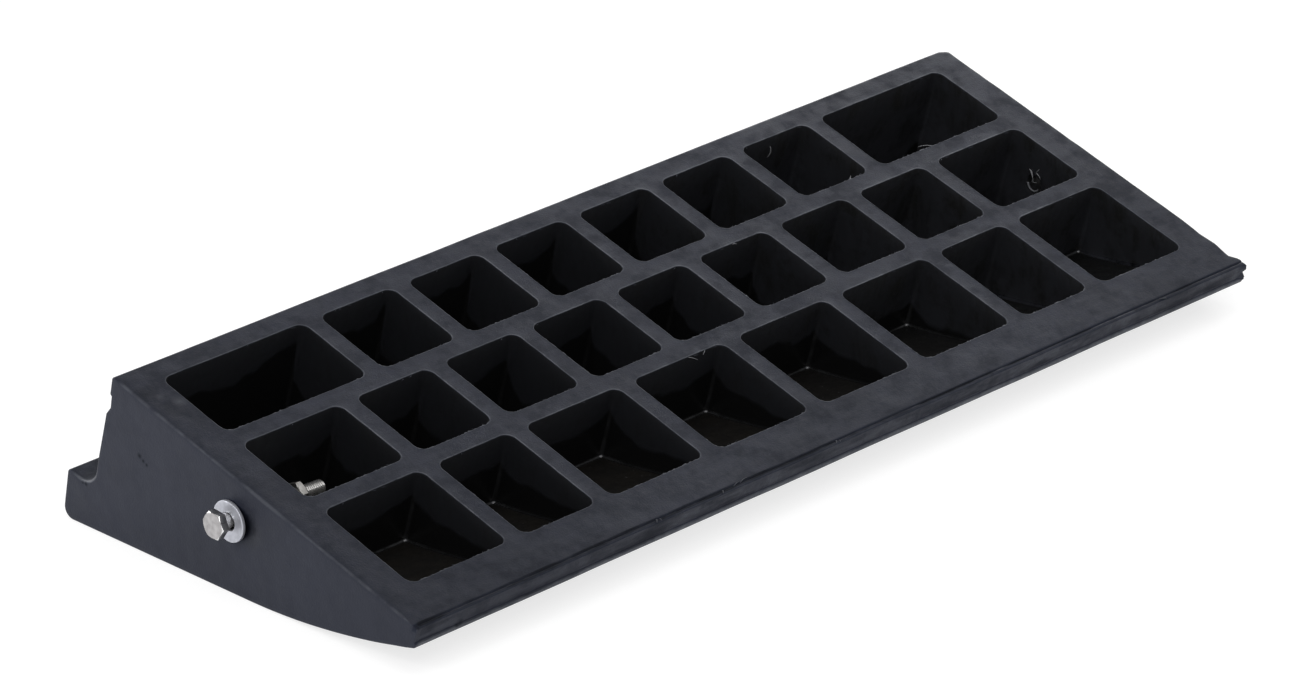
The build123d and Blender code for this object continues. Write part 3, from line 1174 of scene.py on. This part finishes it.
# Painted shade in the toe's crease and on its face, with dirt, and the dull spots
dirt_and_shade_colour = (0.0020, 0.0022, 0.0030)
pale_smudge = (0.060, 0.062, 0.070)
dark_smudge = (0.0015, 0.0015, 0.0030)
# A painted shadow beside the washer
washer_painted_shadow = (0.0005, 0.0005, 0.0005)

# Colours of the pockets' walls
wall_pale_tone = (0.0098, 0.0104, 0.0128)
wall_pale_tone_right = (0.0150, 0.0158, 0.0194)
wall_smudge = (0.0012, 0.0012, 0.0014)
wall_deep_right = (0.024, 0.025, 0.030)
wall_rim = (0.0170, 0.0178, 0.0200)
wall_black = (0.0048, 0.0048, 0.0050)
painted_line_highlight = (0.042, 0.043, 0.046)
painted_corner_glint = (0.20, 0.20, 0.21)

# Colours of the pockets' floors
floor_film = (0.0088, 0.0079, 0.0070)
floor_film_right = (0.0058, 0.0060, 0.0066)
floor_cloud = (0.0030, 0.0029, 0.0029)
floor_dust = (0.0130, 0.0122, 0.0114)
floor_speck = (0.070, 0.070, 0.072)

# Plating of each part: its colour, its colour where it is cloudy, roughness and metalness
plating = {
    "head": ((0.41, 0.40, 0.40), (0.30, 0.29, 0.29), 0.28, 1.0),
    # The shank is painted lighter and less metallic than the head: painted light on the same plating
    "shank": ((0.62, 0.61, 0.60), (0.46, 0.45, 0.44), 0.24, 0.92),
    "nut": ((0.38, 0.37, 0.355), (0.27, 0.26, 0.25), 0.34, 1.0),
    "washer": ((0.50, 0.51, 0.56), (0.41, 0.42, 0.46), 0.38, 0.65),
}
zinc_highlight_colour = (0.88, 0.88, 0.88)

# Where the pockets change towards the right end: the middle of the change and its reach, in mm
right_end = ((600, 120, -20), 360)

# Smudges on the underside, and the painted shadow in the hollow beside the washer: place and radius in mm,
# strength and colour
rubber_marks = [
    ((16.5, 195.1, 0), 5.0, 0.55, pale_smudge),
    ((9.9, 202.6, 0), 3.0, 0.45, pale_smudge),
    ((6.2, 207.5, 0), 8.0, 0.5, dark_smudge),
    ((8.7, 191.2, 0), 8.0, 0.5, dark_smudge),
    ((0, 122, -23.0), 13.0, 1.0, washer_painted_shadow),
]

# Dull places, dark specks and then broad ones along the toe: place and radius in mm, and strength
dull_spots = [
    ((1.2, 1.2, 0.2), 2.4, 1.0),
    ((30.2, 0, -8.2), 2.2, 1.0),
    ((27.6, 0, -9.0), 1.9, 1.0),
    ((0, 199.6, -30.9), 2.2, 1.0),
    ((0, 232.6, -71.0), 1.7, 1.0),
    ((0, 235.0, -71.6), 1.4, 0.8),
    ((0, 196.5, -32.0), 1.6, 1.0),
    ((0, 193.8, -32.7), 1.4, 1.0),
    ((60, 5, -3), 110, 0.30),
    ((300, 5, 0), 90, 0.12),
    ((545, -2, -9), 28, 0.35),
    ((590, 50, 0), 60, 0.12),
]


def rubber_finish():
    """Black rubber on the outside: dull, bloomed and stained, paler along worn edges with painted highlights
    on some, painted shade in the toe's crease and a painted shadow beside the washer.
    """
    finish = Finish("black_rubber_finish")
    uneven_share = finish.rise(finish.mark("even"), 0, 1, 1.0, 0.25)

    def patches(size, detail, rough, low, high, stretch=None):
        """Soft patches that are weaker on the end faces."""
        return finish.times(finish.rise(finish.cloud(size, detail, rough, stretch), low, high), uneven_share)

    worn = finish.mark("worn")
    patchy = finish.rise(finish.cloud(9 * mm, 5, 0.6), 0.35, 0.62, 0.35, 1.0)
    stain = finish.rise(finish.cloud(45 * mm, 7, 0.62), 0.44, 0.64)
    streaks = patches(30 * mm, 5, 0.6, 0.45, 0.7, (0.25, 1.6, 1.6))
    blotch = patches(15 * mm, 6, 0.66, 0.46, 0.62)
    mottle = patches(4 * mm, 5, 0.65, 0.38, 0.66)
    scuffs = patches(3 * mm, 4, 0.6, 0.5, 0.72, (0.07, 1.1, 1.1))
    smears = finish.cloud(10 * mm, 5, 0.65, (0.3, 1.5, 1.5))
    # Painted shade in the toe's crease, on its face and over its bead, broken up by smears like dirt, and
    # then the dull spots
    dull_dirt_and_shade = finish.times(finish.mark("grime"), finish.rise(smears, 0.35, 0.65, 0.5, 1.5))
    dull_dirt_and_shade = finish.rise(dull_dirt_and_shade, 0.4, 0.95)
    for spot in dull_spots:
        dull_dirt_and_shade = finish.mix(finish.spot(*spot), dull_dirt_and_shade, 1.0)
    colour = finish.layered(
        bloom_colour,
        (stain, stain_colour),
        (finish.times(streaks, 0.5), streak_colour),
        (finish.times(blotch, 0.6), blotch_colour),
        (finish.times(mottle, 0.5), mottle_colour),
        (finish.times(scuffs, 0.4), scuff_colour),
        *[(finish.spot(*spot), smudge) for *spot, smudge in rubber_marks],
        (finish.times(worn, patchy, 0.75), wear_and_highlight_colour),
        (finish.rise(worn, 1.8, 2.5, 0, 0.8), torn_and_highlight_colour),
        (dull_dirt_and_shade, dirt_and_shade_colour),
    )
    grain = finish.cloud(rubber_grain, 4, 0.6)
    finish.set(
        Base_Color=colour,
        Roughness=finish.mix(dull_dirt_and_shade, finish.mix(blotch, 0.39, 0.57), 0.85),
        Specular_IOR_Level=0.26,
        Specular_Tint=(0.70, 0.79, 1.0, 1.0),
        Normal=finish.bump(grain, rubber_grain_depth, finish.waves()),
    )
    return finish.material


def pocket_finish():
    """The same rubber on the pockets' walls: pale and dull near the rims, black and glossy below, with
    painted highlight lines and glints low down.
    """
    finish = Finish("pocket_rubber_finish")
    worn = finish.mark("worn")
    depth = finish.mark("pocket_depth")
    black = finish.rise(finish.mark("below_pale"), -1.0, 1.5)
    near_rim = finish.rise(depth, rim_drop, 1.5 * mm, 0.4, 0)
    to_right = finish.spot(*right_end)
    clouds = finish.rise(finish.cloud(17 * mm, 5, 0.62), 0.42, 0.58)
    smears = finish.rise(finish.cloud(9 * mm, 4, 0.6, (1.0, 1.0, 0.3)), 0.40, 0.62)
    smudge = finish.times(finish.mix(smears, clouds, 0.25), finish.rise(to_right, 0.05, 0.5, 0.4, 1.0))
    patchy = finish.rise(finish.cloud(6 * mm, 4), 0.40, 0.62, 0.2, 0.8)
    deep = finish.rise(depth, 10 * mm, 60 * mm, 0, 0.8)
    deep_right = finish.times(deep, finish.rise(to_right, 0.25, 0.7), finish.rise(clouds, 0.0, 1.0, 1.0, 0.3))
    fillet = finish.rise(finish.mark("pocket_floor"), 0.0, 0.2)
    dull = finish.mix(black, finish.mix(smudge, 0.50, 0.75), 0.28)
    colour = finish.layered(
        wall_pale_tone,
        (to_right, wall_pale_tone_right),
        (smudge, wall_smudge),
        (deep_right, wall_deep_right),
        (near_rim, wall_rim),
        (black, wall_black),
        # Painted highlight lines down the corners and along the floors' edges, a painted reflection of the
        # outside light in the bolt holes, and painted glints in the corners
        (finish.times(worn, patchy, black), painted_line_highlight),
        (finish.times(finish.rise(worn, 1.4, 2.6), black), painted_corner_glint),
    )
    finish.set(
        Base_Color=colour,
        Roughness=finish.mix(fillet, dull, 0.10),
        Specular_IOR_Level=0.32,
        Normal=finish.waves(),
    )
    return finish.material


def pocket_floor_finish():
    """The pockets' floors: black under a brownish film that fades to the right, with clouds and specks."""
    finish = Finish("pocket_floor_finish")
    clouds = finish.rise(finish.cloud(13 * mm, 5, 0.62), 0.40, 0.62)
    dust = finish.rise(finish.cloud(2.5 * mm, 4), 0.45, 0.75)
    colour = finish.layered(
        floor_film,
        (finish.rise(finish.spot(*right_end), 0.2, 0.6), floor_film_right),
        (finish.times(clouds, 0.6), floor_cloud),
        (finish.times(dust, 0.3), floor_dust),
        (finish.rise(finish.cloud(1.7 * mm, 1), 0.76, 0.80), floor_speck),
    )
    finish.set(
        Base_Color=colour,
        Roughness=finish.mix(clouds, 0.5, 0.7),
        Specular_IOR_Level=0.10,
        Normal=finish.waves(),
    )
    return finish.material


def zinc_finish(part):
    """Plated steel: a little cloudy, with fine tool marks round the axis, and painted highlights along some
    edges and on the bolt's neck.
    """
    finish = Finish(f"zinc_{part}_finish")
    colour, cloudy_colour, rough, metal = plating[part]
    cloudy = finish.rise(finish.cloud(3 * mm, 4), 0.35, 0.7)
    painted_highlight = finish.times(finish.mark("painted_highlight"), 0.8)
    marks = finish.cloud(0.5 * mm, 3, 0.6, (1, 0.25, 1))
    finish.set(
        Base_Color=finish.layered(colour, (cloudy, cloudy_colour), (painted_highlight, zinc_highlight_colour)),
        Metallic=metal,
        Roughness=finish.mix(cloudy, rough, rough + 0.12),
        Normal=finish.bump(marks, 0.012 * mm),
    )
    return finish.material


def stage_finish():
    """A plain white floor that looks whiter to the camera than to the light that it bounces or mirrors."""
    finish = Finish("floor_finish")
    camera = finish.rays("Camera")
    mirrored = finish.rays("Glossy", "Transmission")
    finish.set(
        Roughness=0.9,
        Specular_IOR_Level=0.0,
        Base_Color=finish.layered(stage_bounce, (camera, stage_seen)),
        Emission_Color=(1, 1, 1, 1),
        Emission_Strength=finish.mix(camera, finish.times(mirrored, stage_mirrored_glow), stage_glow),
    )
    return finish.material


def stage_floor():
    """A plain pale floor."""
    corners = [(x * stage_half, y * stage_half, 0) for x, y in ((-1, -1), (1, -1), (1, 1), (-1, 1))]
    mesh = bpy.data.meshes.new("floor")
    mesh.from_pydata(corners, [], [(0, 1, 2, 3)])
    mesh.materials.append(stage_finish())
    floor = bpy.data.objects.new("floor", mesh)
    floor.location.z = -stage_drop
    bpy.context.scene.collection.objects.link(floor)


def studio_world():
    """Soft surroundings: white round the horizon and dimmer overhead to the eye, and even as a light."""
    world = bpy.data.worlds.new("studio")
    world.use_nodes = True
    nodes = Nodes(world.node_tree, "Generated")
    height = nodes.result("ShaderNodeSeparateXYZ", {"Vector": nodes.place}, "Z")
    ceiling = nodes.rise(height, 0.2, 0.6, 1.0, ceiling_light)
    seen = nodes.rays("Camera", "Glossy", "Transmission")
    background = world.node_tree.nodes["Background"]
    nodes.feed(background.inputs["Color"], (1, 1, 1, 1))
    nodes.feed(background.inputs["Strength"], nodes.rise(seen, 0, 1, room_light, ceiling))
    bpy.context.scene.world = world


def area_light(name, place, aim, size, power):
    """A square soft light that looks at a point."""
    lamp = bpy.data.lights.new(name, "AREA")
    lamp.size = size
    lamp.energy = power
    light = bpy.data.objects.new(name, lamp)
    light.location = place
    light.rotation_euler = (Vector(aim) - Vector(place)).to_track_quat("-Z", "Y").to_euler()
    bpy.context.scene.collection.objects.link(light)


def photo_camera():
    """The camera, at the photograph's angle."""
    data = bpy.data.cameras.new("camera")
    data.sensor_width = camera_sensor
    data.lens = camera_lens
    camera = bpy.data.objects.new("camera", data)
    turn = Vector(camera_forward).to_track_quat("-Z", "Y").to_matrix().to_4x4()
    roll = Matrix.Rotation(camera_roll, 4, "Z")
    camera.matrix_world = Matrix.Translation(camera_place) @ turn @ roll
    bpy.context.scene.collection.objects.link(camera)
    bpy.context.scene.camera = camera


def dress(piece, body, slot, materials, *nodes):
    """Gives a piece its materials and its body, and hides the model's parts that it stands for."""
    for material in materials:
        piece.data.materials.append(material)
    if nodes:
        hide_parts(*nodes)
    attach(piece, body)


rubber = rubber_finish()
dress(ramp_moulding(), "ramp", "black_rubber", [rubber, pocket_finish(), pocket_floor_finish()], "ramp_body")
dress(moulding_flash(), "ramp", "black_rubber", [rubber])
dress(bolt_piece(), "bolt", "zinc_bolt", [zinc_finish("head"), zinc_finish("shank")], "linking_bolt")
dress(nut_piece(), "nut", "zinc_nut", [zinc_finish("nut")], "bolt_nut")
dress(washer_piece(), "washer", "zinc_washer", [zinc_finish("washer")], "bolt_washer")

stage_floor()
studio_world()
for light in lights:
    area_light(*light)
photo_camera()
bpy.context.scene.view_settings.view_transform = "Standard"
